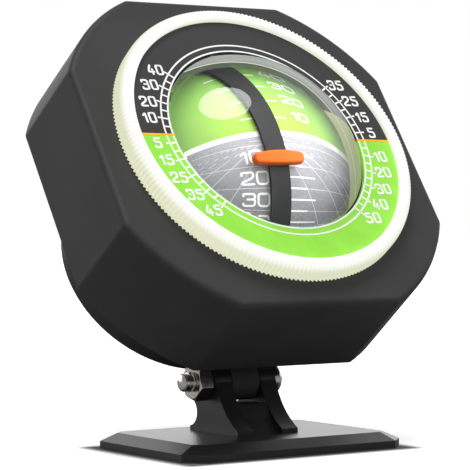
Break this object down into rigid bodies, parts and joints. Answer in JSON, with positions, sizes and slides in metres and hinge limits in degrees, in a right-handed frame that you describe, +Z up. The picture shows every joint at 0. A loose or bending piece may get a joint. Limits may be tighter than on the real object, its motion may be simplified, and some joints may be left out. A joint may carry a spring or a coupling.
{
  "type": "ball inclinometer",
  "caption": "Dashboard ball inclinometer: a hooded housing on a hinged adhesive foot, a turning scale bezel and a gimballed pitch and roll ball in a clear domed capsule.",
  "frame": {"origin": "on the underside of the adhesive pad, under the middle of the foot plate", "axes": "+Z up, X along the pivot bolt with its head at +X, and the dial faces -Y, leaning back 35 degrees"},
  "size_m": [0.087, 0.0825, 0.1037],
  "materials": {
    "case_plastic": "fine-grained charcoal moulding",
    "mounting_foam": "self-adhesive foam",
    "bright_steel": "bright nickel plate",
    "spring_steel": "plain bright steel",
    "luminous_plastic": "pale luminous plastic, satin",
    "dial_print": "matt print, upper half black and lower half green",
    "clear_lens": "clear polished plastic",
    "seal_rubber": "black rubber",
    "black_plastic": "semi-gloss black moulding",
    "turned_brass": "turned brass",
    "pointer_orange": "bright orange, gloss",
    "ball_green": "bright yellow-green print",
    "ball_grey": "speckled grey print",
    "horizon_white": "white print"
  },
  "bodies": {
    "bracket": {"base_bracket": "case_plastic", "adhesive_pad": "mounting_foam", "pivot_bolt": "bright_steel", "pivot_nut": "bright_steel"},
    "housing": {"front_hood": "case_plastic", "rear_housing": "case_plastic", "case_screws": "bright_steel", "wave_ring": "spring_steel", "clear_dome": "clear_lens", "capsule_seal": "seal_rubber", "capsule_bowl": "black_plastic", "clamp_ring": "black_plastic", "clamp_screws": "bright_steel", "filler_plug": "turned_brass", "spindle_bush": "turned_brass", "bush_cap": "black_plastic"},
    "bezel": {"bezel_ring": "luminous_plastic", "dial_ring": "dial_print"},
    "gimbal": {"gimbal_ring": "black_plastic", "gimbal_yoke": "black_plastic", "roll_spindle": "spring_steel", "spindle_clip": "bright_steel", "meridian_band": "black_plastic", "pointer": "pointer_orange", "pitch_bushes": "turned_brass"},
    "ball": {"ball_upper_shell": "ball_green", "ball_lower_shell": "ball_grey", "horizon_band": "horizon_white", "pitch_axle": "spring_steel", "ballast_weight": "turned_brass"}
  },
  "joints": [
    {"name": "housing_tilt", "type": "hinge", "parent": "bracket", "child": "housing", "pos_m": [0, 0.006, 0.0153], "axis": [1, 0, 0], "range_deg": [-50, 40]},
    {"name": "bezel_turn", "type": "hinge", "parent": "housing", "child": "bezel", "pos_m": [0, -0.0086, 0.0712], "axis": [0, -0.8192, 0.5736], "continuous": true},
    {"name": "ball_roll", "type": "hinge", "parent": "housing", "child": "gimbal", "pos_m": [0, 0.01139, 0.0572], "axis": [0, -0.8192, 0.5736], "continuous": true},
    {"name": "ball_pitch", "type": "hinge", "parent": "gimbal", "child": "ball", "pos_m": [0, 0.01139, 0.0572], "axis": [1, 0, 0], "continuous": true}
  ]
}
